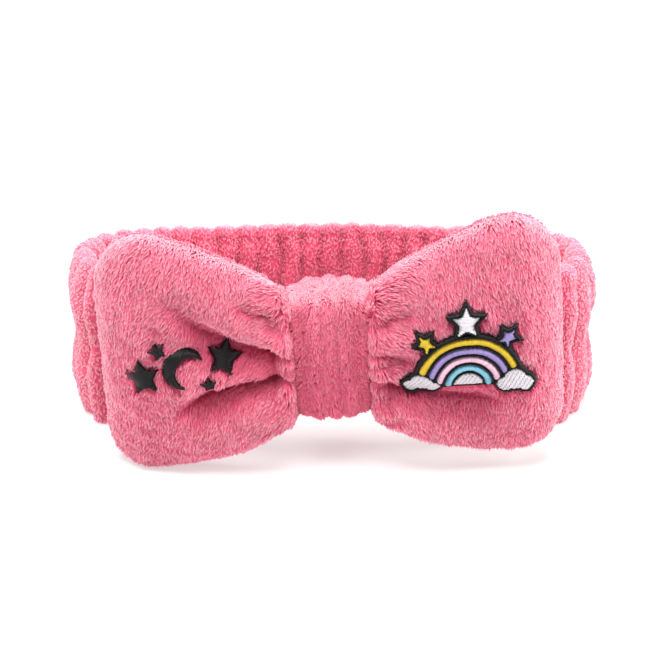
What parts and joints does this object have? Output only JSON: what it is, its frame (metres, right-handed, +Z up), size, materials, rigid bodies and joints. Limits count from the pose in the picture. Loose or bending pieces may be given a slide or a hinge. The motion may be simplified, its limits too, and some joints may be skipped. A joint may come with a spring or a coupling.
{
  "type": "unicorn headband with a plush bow",
  "caption": "Plush spa headband: a gathered, padded fleece loop with a wide bow tied on by a short wrap, and embroidered stars, moon and rainbow.",
  "frame": {"origin": "on the surface that the headband rests on, below the middle of its bounding box", "axes": "+Z up, out of the head opening; +X to the wearer's left, towards the rainbow's wing; the bow faces -Y"},
  "size_m": [0.2406, 0.1588, 0.1192],
  "materials": {
    "fleece": "long-piled coral fleece, pink",
    "thread_black": "satin-stitched rayon thread, black",
    "thread_white": "fill-stitched rayon thread, white",
    "thread_rose": "satin-stitched rayon thread, pale rose",
    "thread_blue": "satin-stitched rayon thread, light blue",
    "thread_lilac": "satin-stitched rayon thread, lilac",
    "thread_yellow": "satin-stitched rayon thread, yellow"
  },
  "bodies": {
    "root": {"band": "fleece", "bow": "fleece", "centre_wrap": "fleece", "moon": "thread_black", "large_star_1": "thread_black", "large_star_2": "thread_black", "small_star_1": "thread_black", "small_star_2": "thread_black", "emblem_backing": "thread_black", "rainbow_yellow": "thread_yellow", "rainbow_lilac": "thread_lilac", "rainbow_rose": "thread_rose", "rainbow_blue": "thread_blue", "rainbow_middle": "thread_white", "cloud_left": "thread_white", "cloud_right": "thread_white", "emblem_star": "thread_white", "side_star_left": "thread_yellow", "side_star_right": "thread_lilac"}
  },
  "joints": []
}
